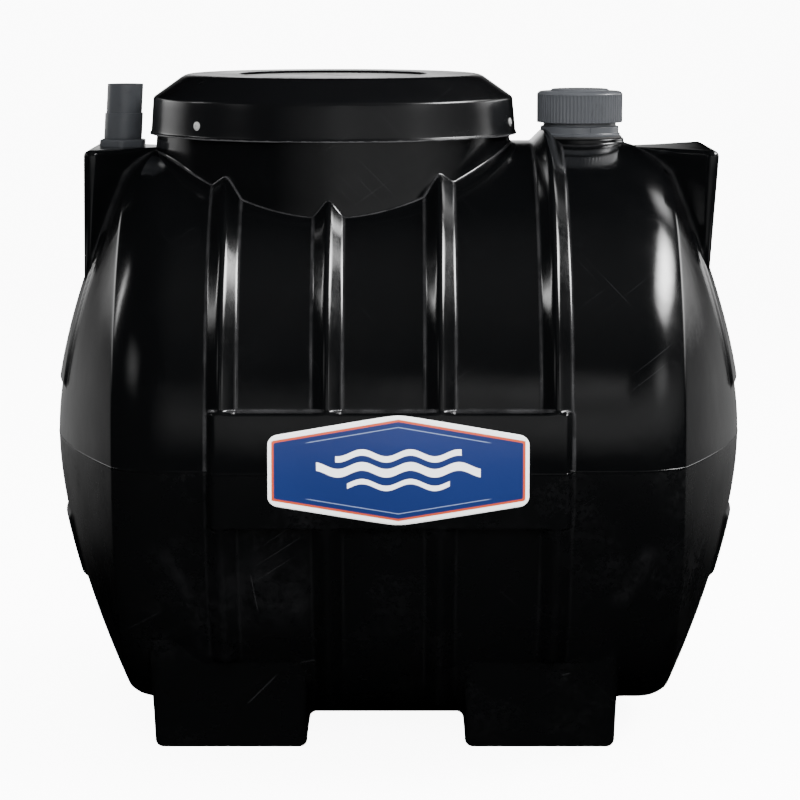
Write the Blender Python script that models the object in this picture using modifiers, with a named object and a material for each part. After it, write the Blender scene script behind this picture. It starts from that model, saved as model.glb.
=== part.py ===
"""Horizontal polyethylene septic tank, moulded in two halves, with manhole, vent and clean-out.

The barrel lies along X and its front faces -Y. The origin is on the ground under the middle.
"""
import math

import bmesh
import bpy
import numpy as np

# Gaps and turning
GAP = 0.0003
TURN_STEPS = 64
FITTING_STEPS = 40
MERGE = 0.00001

# Moulded body
AXIS_HEIGHT = 0.437
BARREL_RADIUS = 0.4293
STRAIGHT_HALF = 0.276
SHOULDER_RADIUS = 0.4080
SHOULDER_X = 0.374
END_JOINT_X = 0.345
TIP_X = 0.510
KNUCKLE_START_RADIUS = 0.390
DISH_DROP = 0.0720
DISH_DROP_RADIUS = 0.300
DISH_TIP_RADIUS = 0.060
DISH_POWER = 1.60
WALL = 0.008

# Raised ribs and bands
RIB_HEIGHT = 0.020
RIB_BASE_HALF = 0.0225
RIB_TOP_HALF = 0.0075
RIB_CENTRES = (-0.244, -0.0985, 0.0580, 0.2175)
LOWER_RIB_ENDS = (-0.292, -0.372, -0.372, -0.292)
PAD_TOP = 0.083
PAD_BOTTOM = -0.080
PAD_LEFT = -0.2640
PAD_RIGHT = 0.2405
PAD_SLOPE = 0.0115
END_RIB_HEIGHT = 0.005
END_RIB_HALF_WIDTH = 0.140
UPPER_END_RIB = (0.077, 0.232)
LOWER_END_RIB = (-0.203, -0.112)

# Feet
FEET = {"left_foot": (-0.3540, -0.1315), "right_foot": (0.0955, 0.3145)}
FOOT_GROUND_HALF_DEPTH = 0.240
FOOT_TOP_HALF_DEPTH = 0.3280
FOOT_TOP = 0.175
FOOT_SIDE_DRAFT = 0.001
FOOT_ROUNDING = 0.012

# Boxes on the shoulders, for the inlet and the outlet
BOX_HALF_WIDTH = 0.143
BOX_TOP = 0.4213
BOX_BOTTOM = 0.200
BOX_INNER_X = 0.352
BOX_OUTER = {"left_box": (0.4575, 0.4595), "right_box": (0.4665, 0.4515)}
BOX_ROUNDING = 0.009

# Manhole
MANHOLE_X = -0.0972
NECK_TOP_RADIUS = 0.2590
NECK_BASE = 0.250
NECK_BASE_RADIUS = 0.2740
NECK_WALL = 0.010
LID_TOP = 0.5287
LID_DISC_RADIUS = 0.141
LID_DISC_DEPTH = 0.003
LID_FLAT_RADIUS = 0.2185
LID_SHOULDER_RADIUS = 0.2664
LID_SHOULDER = 0.4949
LID_SKIRT_RADIUS = 0.2706
LID_RIM_RADIUS = 0.2736
LID_BOTTOM = 0.4405
LID_WALL = 0.006
LID_INSIDE_SHOULDER = (LID_SHOULDER_RADIUS - LID_WALL, LID_SHOULDER - LID_WALL)
LID_INSIDE_FLAT = (LID_FLAT_RADIUS - LID_WALL / 2, LID_TOP - 1.5 * LID_WALL)
LID_INSIDE_SLOPE = ((LID_INSIDE_FLAT[1] - LID_INSIDE_SHOULDER[1])
                    / (LID_INSIDE_SHOULDER[0] - LID_INSIDE_FLAT[0]))
NECK_TOP = (LID_INSIDE_SHOULDER[1] + LID_INSIDE_SLOPE * (LID_INSIDE_SHOULDER[0] - NECK_TOP_RADIUS)
            - GAP)

# Clean-out at the right, on top
CLEANOUT_X = 0.2695
CLEANOUT_BORE = 0.050
BOSS_RADIUS = 0.0665
BOSS_TOP = 0.4340
GASKET_RADIUS = 0.0625
GASKET_THICKNESS = 0.003
COLLAR_RADIUS = 0.0580
COLLAR_TOP = 0.4560
CAP_RADIUS = 0.0636
CAP_TOP = 0.5030
CAP_DISC_RADIUS = 0.0445
CAP_DISC_HEIGHT = 0.0035

# Vent on the left box
VENT_X = -0.4085
VENT_BORE = 0.0230
VENT_NUT_RADIUS = 0.0350
VENT_NUT_HEIGHT = 0.0105
VENT_SOCKET_RADIUS = 0.0282
VENT_SOCKET_TOP = 0.4705
VENT_PIPE_RADIUS = 0.0265
VENT_TOP = 0.5111
VENT_BORE_BOTTOM = 0.220

# Label on the front pad
LABEL_MIDDLE = 0.0045
LABEL_HALF_WIDTH = 0.1785
LABEL_CORNER_HEIGHT = 0.0455
LABEL_HALF_HEIGHT = 0.0753
LABEL_THICKNESS = 0.001

# Reach of the cutters past the body
FAR = 0.70


def clear_scene():
    """Remove every object of the starting scene."""
    for item in list(bpy.data.objects):
        bpy.data.objects.remove(item, do_unlink=True)


def new_collection(name):
    """Return a fresh collection linked to the scene."""
    collection = bpy.data.collections.new(name)
    bpy.context.scene.collection.children.link(collection)
    return collection


def new_material(name, colour, roughness, metallic=0.0):
    """Return a Principled material with one base colour."""
    material = bpy.data.materials.new(name)
    material.use_nodes = True
    shader = material.node_tree.nodes["Principled BSDF"]
    shader.inputs["Base Color"].default_value = (*colour, 1.0)
    shader.inputs["Roughness"].default_value = roughness
    shader.inputs["Metallic"].default_value = metallic
    return material


clear_scene()
PARTS = new_collection("septic_tank")
CUTTERS = new_collection("cutters")
BLACK_PLASTIC = new_material("black_polyethylene", (0.012, 0.013, 0.014), 0.28)
GREY_PLASTIC = new_material("grey_upvc", (0.24, 0.25, 0.26), 0.42)
BLACK_RUBBER = new_material("gasket_rubber", (0.015, 0.015, 0.015), 0.75)
LID_PLASTIC = new_material("lid_polyethylene", (0.015, 0.016, 0.017), 0.30)
LABEL_FILM = new_material("label_film", (0.02, 0.06, 0.33), 0.30)


def add_part(name, mesh, material):
    """Add a mesh as a named sub-part with its own material."""
    mesh.materials.append(material)
    part = bpy.data.objects.new(name, mesh)
    PARTS.objects.link(part)
    return part


def add_cutter(name, mesh):
    """Add a mesh as a hidden cutter."""
    cutter = bpy.data.objects.new(name, mesh)
    cutter.hide_render = True
    cutter.display_type = "WIRE"
    CUTTERS.objects.link(cutter)
    return cutter


def combine(part, other, operation):
    """Give a part a Boolean with another object."""
    modifier = part.modifiers.new(operation.lower(), "BOOLEAN")
    modifier.operation = operation
    modifier.object = other


def profile_mesh(name, points, closed):
    """Return a mesh of edges at +X for a turned shape, from (radius, height) pairs."""
    mesh = bpy.data.meshes.new(name)
    vertices = [(radius, 0.0, height) for radius, height in points]
    edges = [(index, index + 1) for index in range(len(points) - 1)]
    if closed:
        edges.append((len(points) - 1, 0))
    mesh.from_pydata(vertices, edges, [])
    return mesh


def turn(item, steps):
    """Turn an object's profile once round its own Z axis."""
    modifier = item.modifiers.new("turn", "SCREW")
    modifier.axis = "Z"
    modifier.angle = 2 * math.pi
    modifier.steps = steps
    modifier.render_steps = steps
    modifier.use_merge_vertices = True
    modifier.merge_threshold = MERGE
    modifier.use_smooth_shade = True


def lay_along_barrel(item, side=1):
    """Turn an object so that its own Z axis points out of the barrel's right or left end."""
    item.location = (0.0, 0.0, AXIS_HEIGHT)
    item.rotation_euler = (0.0, side * math.pi / 2, 0.0)


def stand_on(item, x):
    """Stand a turned object upright over the barrel's axis at x."""
    item.location = (x, 0.0, AXIS_HEIGHT)


def block_mesh(name, x_range, y_range, z_range):
    """Return a box mesh between the given limits."""
    mesh = bpy.data.meshes.new(name)
    shape = bmesh.new()
    bmesh.ops.create_cube(shape, size=1.0)
    for vertex in shape.verts:
        vertex.co.x = x_range[vertex.co.x > 0]
        vertex.co.y = y_range[vertex.co.y > 0]
        vertex.co.z = z_range[vertex.co.z > 0]
    shape.to_mesh(mesh)
    shape.free()
    return mesh


def cylinder_mesh(name, radius, bottom, top, steps):
    """Return a closed upright cylinder about its own Z axis."""
    mesh = bpy.data.meshes.new(name)
    shape = bmesh.new()
    bmesh.ops.create_cone(shape, cap_ends=True, segments=steps,
                          radius1=radius, radius2=radius, depth=top - bottom)
    bmesh.ops.translate(shape, verts=shape.verts, vec=(0.0, 0.0, (top + bottom) / 2))
    shape.to_mesh(mesh)
    shape.free()
    return mesh


def barrel_radius(x):
    """Radius of the barrel: straight in the middle, eased down to the shoulders."""
    reach = np.clip((abs(x) - STRAIGHT_HALF) / (SHOULDER_X - STRAIGHT_HALF), 0.0, 1.0)
    ease = reach * reach * (3 - 2 * reach)
    return BARREL_RADIUS - (BARREL_RADIUS - SHOULDER_RADIUS) * ease


def dish_x(radius):
    """Distance of the dished end from the middle: a power curve with a rounded tip."""
    def drop(r):
        """Rise of the power curve at r, from zero on the axis."""
        return (r * r + DISH_TIP_RADIUS ** 2) ** (DISH_POWER / 2) - DISH_TIP_RADIUS ** DISH_POWER
    return TIP_X - DISH_DROP * drop(radius) / drop(DISH_DROP_RADIUS)


def end_outline(offset):
    """Points (radius, distance) of an end, tip to barrel, moved out by offset along the normal."""
    step = 0.0001
    radii = np.linspace(0.0, KNUCKLE_START_RADIUS, 8)
    distance = dish_x(radii)
    slope = (dish_x(radii + step) - dish_x(abs(radii - step))) / (2 * step)
    slope[0] = 0.0
    lean = np.arctan(-slope)
    points = [(r + offset * math.sin(a), x + offset * math.cos(a))
              for r, x, a in zip(radii, distance, lean)]
    knuckle = (SHOULDER_RADIUS - KNUCKLE_START_RADIUS) / (1 - math.sin(lean[-1]))
    centre_x = distance[-1] - knuckle * math.cos(lean[-1])
    centre_radius = SHOULDER_RADIUS - knuckle
    for angle in np.linspace(lean[-1], math.pi / 2, 5)[1:]:
        points.append((centre_radius + (knuckle + offset) * math.sin(angle),
                       centre_x + (knuckle + offset) * math.cos(angle)))
    return points


def barrel_outline(start, offset):
    """Points (radius, distance) along the barrel from start to the same place on the far side."""
    shoulder = np.linspace(start, STRAIGHT_HALF, 4)
    distances = np.concatenate([shoulder, -shoulder[::-1]])
    return [(float(barrel_radius(x)) + offset, float(x)) for x in distances]


def body_form(name, offset):
    """Add the whole body as one closed form, larger all over by offset, to cut with."""
    right = end_outline(offset)
    middle = barrel_outline(END_JOINT_X, offset)
    left = [(radius, -x) for radius, x in reversed(right)]
    form = add_cutter(name, profile_mesh(name, right + middle + left, closed=False))
    turn(form, TURN_STEPS)
    lay_along_barrel(form)
    return form


CLEAR_BODY = body_form("body_clear", GAP)
RAISED_BODY = body_form("body_raised", GAP + END_RIB_HEIGHT)

neck_cutter = add_cutter("neck_cutter", profile_mesh("neck_cutter", [
    (0.0, FAR),
    (NECK_TOP_RADIUS + GAP, FAR),
    (NECK_TOP_RADIUS + GAP, NECK_TOP),
    (NECK_BASE_RADIUS + GAP, NECK_BASE),
    (0.0, NECK_BASE),
], closed=False))
turn(neck_cutter, TURN_STEPS)
stand_on(neck_cutter, MANHOLE_X)

vent_cutter = add_cutter("vent_cutter", cylinder_mesh(
    "vent_cutter", VENT_BORE, VENT_BORE_BOTTOM, FAR, FITTING_STEPS))
stand_on(vent_cutter, VENT_X)

boss_cutter = add_cutter("boss_cutter", cylinder_mesh(
    "boss_cutter", BOSS_RADIUS + GAP, BARREL_RADIUS / 2, FAR, FITTING_STEPS))
stand_on(boss_cutter, CLEANOUT_X)


def region(name, x_range, y_range, z_range):
    """Add a box to cut with; its heights are measured from the barrel's axis."""
    heights = tuple(AXIS_HEIGHT + z for z in z_range)
    return add_cutter(name, block_mesh(name, x_range, y_range, heights))


# Barrel in two half shells

def add_half_shell(name, z_range):
    """Add the upper or lower half of the barrel's wall."""
    start = END_JOINT_X - GAP / 2
    outside = barrel_outline(start, 0.0)
    inside = [(radius, x) for radius, x in reversed(barrel_outline(start, -WALL))]
    shell = add_part(name, profile_mesh(name, outside + inside, closed=True), BLACK_PLASTIC)
    turn(shell, TURN_STEPS)
    lay_along_barrel(shell)
    combine(shell, region(name + "_half", (-FAR, FAR), (-FAR, FAR), z_range), "INTERSECT")
    return shell


def add_shells():
    """Add both half shells, with the manhole and the clean-out cut through the upper one."""
    upper = add_half_shell("upper_shell", (GAP / 2, FAR))
    manhole = add_cutter("manhole_cutter", cylinder_mesh(
        "manhole_cutter", NECK_TOP_RADIUS - NECK_WALL, 0.1, FAR, TURN_STEPS))
    stand_on(manhole, MANHOLE_X)
    combine(upper, manhole, "DIFFERENCE")
    cleanout = add_cutter("cleanout_cutter", cylinder_mesh(
        "cleanout_cutter", CLEANOUT_BORE, 0.1, FAR, FITTING_STEPS))
    stand_on(cleanout, CLEANOUT_X)
    combine(upper, cleanout, "DIFFERENCE")
    add_half_shell("lower_shell", (-FAR, -GAP / 2))


# Dished ends

def add_end(name, side):
    """Add one dished end as a turned shell, open towards the barrel; the vent enters the left one."""
    start = END_JOINT_X + GAP / 2
    outside = end_outline(0.0) + [(float(barrel_radius(start)), start)]
    inside = end_outline(-WALL)[::2] + [(float(barrel_radius(start)) - WALL, start)]
    end = add_part(name, profile_mesh(name, outside + inside[::-1], closed=False), BLACK_PLASTIC)
    turn(end, TURN_STEPS)
    lay_along_barrel(end, side)
    if side < 0:
        combine(end, vent_cutter, "DIFFERENCE")


def add_end_ribs(side_name, side):
    """Add the flat raised bands above and below the middle of one end."""
    x_range = tuple(sorted((side * END_JOINT_X, side * FAR)))
    y_range = (-END_RIB_HALF_WIDTH, END_RIB_HALF_WIDTH)
    for place, heights in (("upper", UPPER_END_RIB), ("lower", LOWER_END_RIB)):
        name = f"{side_name}_end_rib_{place}"
        z_range = tuple(AXIS_HEIGHT + z for z in heights)
        rib = add_part(name, block_mesh(name, x_range, y_range, z_range), BLACK_PLASTIC)
        combine(rib, RAISED_BODY, "INTERSECT")
        combine(rib, CLEAR_BODY, "DIFFERENCE")


# Ribs and pads on the front and the back

FACES = {"front": (-FAR, -GAP / 2), "back": (GAP / 2, FAR)}


def add_band(name, x_outline, face, z_range):
    """Add part of a raised hoop round the barrel; x_outline gives its base and top edges."""
    base_left, top_left, top_right, base_right = x_outline
    inner = BARREL_RADIUS + GAP
    outer = BARREL_RADIUS + RIB_HEIGHT
    points = [(outer, top_right), (outer, top_left), (inner, base_left), (inner, base_right)]
    band = add_part(name, profile_mesh(name, points, closed=True), BLACK_PLASTIC)
    turn(band, TURN_STEPS)
    lay_along_barrel(band)
    combine(band, region(name + "_part", (-FAR, FAR), FACES[face], z_range), "INTERSECT")
    return band


def add_ribs_and_pads(face):
    """Add the pad and the four ribs above and below it on one face."""
    pad_outline = (PAD_LEFT, PAD_LEFT + PAD_SLOPE, PAD_RIGHT - PAD_SLOPE, PAD_RIGHT)
    add_band(f"{face}_pad", pad_outline, face, (PAD_BOTTOM, PAD_TOP))
    for number, (centre, lower_end) in enumerate(zip(RIB_CENTRES, LOWER_RIB_ENDS), start=1):
        outline = (centre - RIB_BASE_HALF, centre - RIB_TOP_HALF,
                   centre + RIB_TOP_HALF, centre + RIB_BASE_HALF)
        upper = add_band(f"{face}_rib_upper_{number}", outline, face, (PAD_TOP + GAP, FAR))
        if number == len(RIB_CENTRES):
            combine(upper, boss_cutter, "DIFFERENCE")
        else:
            combine(upper, neck_cutter, "DIFFERENCE")
        add_band(f"{face}_rib_lower_{number}", outline, face, (lower_end, PAD_BOTTOM - GAP))


# Feet

def round_edges(part, width, segments=2):
    """Round a part's edges before it is cut."""
    modifier = part.modifiers.new("rounding", "BEVEL")
    modifier.width = width
    modifier.segments = segments
    modifier.limit_method = "ANGLE"


def add_foot(name, x_range):
    """Add one moulded foot: a block that narrows to the ground, cut to the barrel."""
    mesh = block_mesh(name, x_range, (-1.0, 1.0), (0.0, FOOT_TOP))
    middle = sum(x_range) / 2
    for vertex in mesh.vertices:
        at_top = vertex.co.z > FOOT_TOP / 2
        half_depth = FOOT_TOP_HALF_DEPTH if at_top else FOOT_GROUND_HALF_DEPTH
        vertex.co.y *= half_depth
        if not at_top:
            vertex.co.x -= math.copysign(FOOT_SIDE_DRAFT, vertex.co.x - middle)
    foot = add_part(name, mesh, BLACK_PLASTIC)
    round_edges(foot, FOOT_ROUNDING)
    combine(foot, CLEAR_BODY, "DIFFERENCE")


# Shoulder boxes

def add_box(name, side, outer_x):
    """Add the box for a pipe connection on one shoulder, cut to the body."""
    heights = (AXIS_HEIGHT + BOX_BOTTOM, AXIS_HEIGHT + BOX_TOP)
    mesh = block_mesh(name, (0.0, 1.0), (-BOX_HALF_WIDTH, BOX_HALF_WIDTH), heights)
    outer_top, outer_bottom = outer_x
    inner_side = 0.0 if side > 0 else 1.0
    for vertex in mesh.vertices:
        outer = outer_top if vertex.co.z > sum(heights) / 2 else outer_bottom
        vertex.co.x = side * (BOX_INNER_X if vertex.co.x == inner_side else outer)
    box = add_part(name, mesh, BLACK_PLASTIC)
    round_edges(box, BOX_ROUNDING)
    combine(box, CLEAR_BODY, "DIFFERENCE")
    return box


def cut_above_end_rib(box, name, side):
    """Clear the box off the top of the end rib below it."""
    x_range = tuple(sorted((side * END_JOINT_X, side * FAR)))
    z_range = (0.0, UPPER_END_RIB[1] + GAP)
    combine(box, region(name + "_underside", x_range, (-FAR, FAR), z_range), "DIFFERENCE")


def add_boxes():
    """Add both boxes; the left one has the vent's bore."""
    for name, side in (("left_box", -1), ("right_box", 1)):
        box = add_box(name, side, BOX_OUTER[name])
        cut_above_end_rib(box, name, side)
        if side < 0:
            combine(box, neck_cutter, "DIFFERENCE")
            combine(box, vent_cutter, "DIFFERENCE")


# Manhole neck and lid

def add_neck():
    """Add the manhole neck, a tapered ring cut to the barrel."""
    points = [
        (NECK_TOP_RADIUS, NECK_TOP),
        (NECK_BASE_RADIUS, NECK_BASE),
        (NECK_BASE_RADIUS - NECK_WALL, NECK_BASE),
        (NECK_TOP_RADIUS - NECK_WALL, NECK_TOP),
    ]
    neck = add_part("manhole_neck", profile_mesh("manhole_neck", points, closed=True), BLACK_PLASTIC)
    turn(neck, TURN_STEPS)
    stand_on(neck, MANHOLE_X)
    combine(neck, CLEAR_BODY, "DIFFERENCE")


def add_lid():
    """Add the lid: a turned shell with a sunk disc, a sloping shoulder and a deep skirt."""
    lip = LID_RIM_RADIUS - LID_SKIRT_RADIUS
    points = [
        (0.0, LID_TOP - LID_DISC_DEPTH),
        (LID_DISC_RADIUS - LID_DISC_DEPTH, LID_TOP - LID_DISC_DEPTH),
        (LID_DISC_RADIUS, LID_TOP),
        (LID_FLAT_RADIUS - lip, LID_TOP),
        (LID_FLAT_RADIUS + lip, LID_TOP - lip / 2),
        (LID_SHOULDER_RADIUS - lip, LID_SHOULDER + lip),
        (LID_SHOULDER_RADIUS, LID_SHOULDER - lip / 2),
        (LID_SKIRT_RADIUS, LID_BOTTOM + 2 * lip),
        (LID_RIM_RADIUS, LID_BOTTOM + lip),
        (LID_RIM_RADIUS, LID_BOTTOM),
        (LID_SKIRT_RADIUS - LID_WALL, LID_BOTTOM),
        LID_INSIDE_SHOULDER,
        LID_INSIDE_FLAT,
        (0.0, LID_INSIDE_FLAT[1]),
    ]
    lid = add_part("manhole_lid", profile_mesh("manhole_lid", points, closed=False), LID_PLASTIC)
    turn(lid, TURN_STEPS)
    stand_on(lid, MANHOLE_X)


# Clean-out

def add_ring(name, outer, inner, bottom, top, material, x):
    """Add a plain upright ring and return it."""
    points = [(outer, top), (outer, bottom), (inner, bottom), (inner, top)]
    ring = add_part(name, profile_mesh(name, points, closed=True), material)
    turn(ring, FITTING_STEPS)
    stand_on(ring, x)
    return ring


def add_cleanout():
    """Add the clean-out from the tank up: boss, gasket, collar and screw cap."""
    boss = add_ring("cleanout_boss", BOSS_RADIUS, CLEANOUT_BORE, BARREL_RADIUS * 0.9, BOSS_TOP,
                    BLACK_PLASTIC, CLEANOUT_X)
    combine(boss, CLEAR_BODY, "DIFFERENCE")
    gasket_bottom = BOSS_TOP + GAP
    gasket_top = gasket_bottom + GASKET_THICKNESS
    add_ring("cleanout_gasket", GASKET_RADIUS, CLEANOUT_BORE, gasket_bottom, gasket_top,
             BLACK_RUBBER, CLEANOUT_X)
    add_ring("cleanout_collar", COLLAR_RADIUS, CLEANOUT_BORE, gasket_top + GAP, COLLAR_TOP,
             GREY_PLASTIC, CLEANOUT_X)
    disc_top = CAP_TOP + CAP_DISC_HEIGHT
    points = [
        (0.0, disc_top),
        (CAP_DISC_RADIUS - CAP_DISC_HEIGHT, disc_top),
        (CAP_DISC_RADIUS, CAP_TOP),
        (CAP_RADIUS - GASKET_THICKNESS / 2, CAP_TOP),
        (CAP_RADIUS, CAP_TOP - GASKET_THICKNESS / 2),
        (CAP_RADIUS, COLLAR_TOP + GAP),
        (CLEANOUT_BORE, COLLAR_TOP + GAP),
        (CLEANOUT_BORE, CAP_TOP - 2 * GASKET_THICKNESS),
        (0.0, CAP_TOP - 2 * GASKET_THICKNESS),
    ]
    cap = add_part("cleanout_cap", profile_mesh("cleanout_cap", points, closed=False), GREY_PLASTIC)
    turn(cap, FITTING_STEPS)
    stand_on(cap, CLEANOUT_X)


# Vent

def add_vent():
    """Add the vent from the box up: hexagon nut, socket and pipe stub, all bored through."""
    nut_bottom = BOX_TOP + GAP
    nut_top = nut_bottom + VENT_NUT_HEIGHT
    nut = add_part("vent_nut", cylinder_mesh(
        "vent_nut", VENT_NUT_RADIUS, nut_bottom, nut_top, 6), GREY_PLASTIC)
    stand_on(nut, VENT_X)
    combine(nut, vent_cutter, "DIFFERENCE")
    add_ring("vent_socket", VENT_SOCKET_RADIUS, VENT_BORE, nut_top + GAP, VENT_SOCKET_TOP,
             GREY_PLASTIC, VENT_X)
    add_ring("vent_pipe", VENT_PIPE_RADIUS, VENT_BORE, VENT_SOCKET_TOP + GAP, VENT_TOP,
             GREY_PLASTIC, VENT_X)


# Label

def add_label():
    """Add the stretched six-sided label as a thin skin on the front pad."""
    inner = BARREL_RADIUS + RIB_HEIGHT + GAP
    outer = inner + LABEL_THICKNESS
    half = LABEL_HALF_WIDTH * 1.2
    points = [(outer, half), (outer, -half), (inner, -half), (inner, half)]
    label = add_part("label", profile_mesh("label", points, closed=True), LABEL_FILM)
    turn(label, TURN_STEPS)
    lay_along_barrel(label)
    outline = [
        (-LABEL_HALF_WIDTH, -LABEL_CORNER_HEIGHT),
        (0.0, -LABEL_HALF_HEIGHT),
        (LABEL_HALF_WIDTH, -LABEL_CORNER_HEIGHT),
        (LABEL_HALF_WIDTH, LABEL_CORNER_HEIGHT),
        (0.0, LABEL_HALF_HEIGHT),
        (-LABEL_HALF_WIDTH, LABEL_CORNER_HEIGHT),
    ]
    cutter = add_cutter("label_cutter", outline_prism("label_cutter", outline, BARREL_RADIUS / 2))
    cutter.location = (0.0, -BARREL_RADIUS, AXIS_HEIGHT + LABEL_MIDDLE)
    combine(label, cutter, "INTERSECT")


def outline_prism(name, outline, depth):
    """Return a mesh of an X-Z outline carried along Y, from a filled flat curve."""
    curve = bpy.data.curves.new(name, "CURVE")
    curve.dimensions = "2D"
    curve.fill_mode = "BOTH"
    curve.extrude = depth / 2
    spline = curve.splines.new("POLY")
    spline.points.add(len(outline) - 1)
    spline.use_cyclic_u = True
    for point, (x, z) in zip(spline.points, outline):
        point.co = (x, z, 0.0, 1.0)
    guide = bpy.data.objects.new(name, curve)
    CUTTERS.objects.link(guide)
    evaluated = guide.evaluated_get(bpy.context.evaluated_depsgraph_get())
    mesh = bpy.data.meshes.new_from_object(evaluated)
    bpy.data.objects.remove(guide, do_unlink=True)
    shape = bmesh.new()
    shape.from_mesh(mesh)
    bmesh.ops.remove_doubles(shape, verts=shape.verts, dist=MERGE)
    for vertex in shape.verts:
        x, z, y = vertex.co
        vertex.co = (x, -y, z)
    bmesh.ops.recalc_face_normals(shape, faces=shape.faces)
    shape.to_mesh(mesh)
    shape.free()
    return mesh


add_shells()
for end_name, end_side in (("left", -1), ("right", 1)):
    add_end(f"{end_name}_end", end_side)
    add_end_ribs(end_name, end_side)
for face_name in FACES:
    add_ribs_and_pads(face_name)
for foot_name, foot_range in FEET.items():
    add_foot(foot_name, foot_range)
add_boxes()
add_neck()
add_lid()
add_cleanout()
add_vent()
add_label()
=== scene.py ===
"""Horizontal polyethylene septic tank: the finished look of each piece over its CAD frame.

The barrel lies along X, its labelled front faces -Y and the ground is at Z = 0.
"""
import math

import bpy
import numpy as np
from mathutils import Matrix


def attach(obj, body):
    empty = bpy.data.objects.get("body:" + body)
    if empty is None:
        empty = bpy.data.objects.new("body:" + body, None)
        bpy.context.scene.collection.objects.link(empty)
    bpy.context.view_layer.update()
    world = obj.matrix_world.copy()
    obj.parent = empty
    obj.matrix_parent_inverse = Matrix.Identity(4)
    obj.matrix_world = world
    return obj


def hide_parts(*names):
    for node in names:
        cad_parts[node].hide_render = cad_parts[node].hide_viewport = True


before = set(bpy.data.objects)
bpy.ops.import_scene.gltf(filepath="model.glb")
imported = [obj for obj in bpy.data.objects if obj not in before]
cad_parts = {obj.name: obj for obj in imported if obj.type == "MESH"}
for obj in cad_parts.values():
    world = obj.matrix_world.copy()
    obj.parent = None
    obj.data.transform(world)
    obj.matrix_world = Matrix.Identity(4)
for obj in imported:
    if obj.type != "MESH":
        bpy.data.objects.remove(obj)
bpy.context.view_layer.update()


# The moulded barrel. One hollow shell of black polyethylene with a domed end on either side,
# upright ribs all round and a flat pad on the front and the back. It is spun in a mould that
# parts at the barrel's axis, so its skin is made as an upper and a lower half.

AXIS_HEIGHT = 0.437
BARREL_RADIUS = 0.4293
SHOULDER_START = 0.310
DOME_TIP = 0.5094
DOME_DROP = 0.0720
DOME_DROP_RADIUS = 0.300
DOME_TIP_ROUND = 0.060
DOME_POWER = 1.60
DOME_EDGE_RADIUS = 0.3935
CREASE_ROUND = 0.003

RAISE = 0.0194
RIB_CENTRES = (-0.244, -0.0985, 0.0580, 0.2175)
RIB_TOP_HALF = 0.0018
RIB_SLOPE = 0.0198
RIB_CREST_BLEND = 0.0050
RIB_LOWER_ENDS = (-0.2920, -0.3720, -0.3720, -0.2920)
RIB_END_SLOPE = 0.020
PAD_X = (-0.2520, 0.2290)
PAD_SLOPE = 0.0115
PAD_Z = (-0.0780, 0.0815)
PAD_LEDGE = 0.0040
EDGE_BLEND = 0.0024

BAND_HEIGHT = 0.0048
BAND_HALF_WIDTH = 0.134
BAND_SLOPE = 0.007
UPPER_BAND = (0.082, 0.300)
LOWER_BAND = (-0.198, -0.115)

SCUFFS = (((-0.270, 0.262), (-0.110, 0.262), 0.075), ((0.300, 0.235), (0.355, 0.330), 0.018),
          ((-0.330, 0.330), (-0.285, 0.245), 0.014))
# Straight marks on the front as (start, end, width): scratches, and painted glints on the fillet at
# the left box's foot and on the left foot's top corner.
SCRATCH_AND_GLINT_STROKES = (((-0.172, 0.124), (-0.218, 0.073), 0.0012), ((-0.4188, 0.7414), (-0.4275, 0.7095), 0.0014),
           ((0.232, 0.122), (0.246, 0.126), 0.0012), ((-0.141, 0.143), (-0.116, 0.149), 0.0014),
           ((-0.205, 0.290), (-0.196, 0.230), 0.0010))

SLIM = 0.0205
SLIM_START = 0.275
SLIM_MIDDLE = 0.325
SLIM_END = 0.402

ROUND_STEP = 0.0178


def spread(start, stop, step):
    """Evenly spaced values from start to stop, about a step apart."""
    return np.linspace(start, stop, max(2, int(math.ceil(abs(stop - start) / step)) + 1))


def ease(t):
    """Zero to one with level ends: t squared times three minus two t."""
    t = np.clip(t, 0.0, 1.0)
    return t * t * (3.0 - 2.0 * t)


def ramp(t, blend):
    """Zero, then a rise of one in one; a parabola joins the two over blend on either side."""
    return np.where(t <= -blend, 0.0, np.where(t >= blend, t, (t + blend) ** 2 / (4 * blend)))


def plateau(t, low, high, slope, foot, top):
    """One from low to high and a straight fall to zero over slope outside.

    Parabolas round the corners at the foot and at the top of both slopes.
    """
    rise = ramp(t - low + slope, foot) - ramp(t - low, top)
    fall = ramp(t - high, top) - ramp(t - high - slope, foot)
    return (rise - fall) / slope


def dome_distance(radius):
    """Distance of the dome from the middle: tip less a power of the radius, tip rounded."""
    def drop(r):
        """Power curve from zero on the axis."""
        return (r * r + DOME_TIP_ROUND ** 2) ** (DOME_POWER / 2) - DOME_TIP_ROUND ** DOME_POWER
    return DOME_TIP - DOME_DROP * drop(radius) / drop(DOME_DROP_RADIUS)


def end_section():
    """Outline (distance, radius) from the dome's tip over the crease to the shoulder's start."""
    dome_radii = np.concatenate([
        spread(0.006, 0.060, 0.008),
        spread(0.060, 0.290, 0.0042)[1:],
        spread(0.290, DOME_EDGE_RADIUS - CREASE_ROUND, 0.007)[1:]])
    edge = np.array([dome_distance(DOME_EDGE_RADIUS), DOME_EDGE_RADIUS])
    run = edge[0] - SHOULDER_START
    fall = BARREL_RADIUS - DOME_EDGE_RADIUS
    bend = (run * run + fall * fall) / (2 * fall)
    widest = math.asin(run / bend)
    turns = np.linspace(widest - CREASE_ROUND / bend, 0.0, 14)
    shoulder = np.stack([SHOULDER_START + bend * np.sin(turns),
                         BARREL_RADIUS - bend + bend * np.cos(turns)], axis=1)
    dome = np.stack([dome_distance(dome_radii), dome_radii], axis=1)
    t = np.linspace(0.0, 1.0, 5)[1:-1, None]
    crease = (1 - t) ** 2 * dome[-1] + 2 * t * (1 - t) * edge + t * t * shoulder[0]
    return np.concatenate([dome, crease, shoulder])


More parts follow.
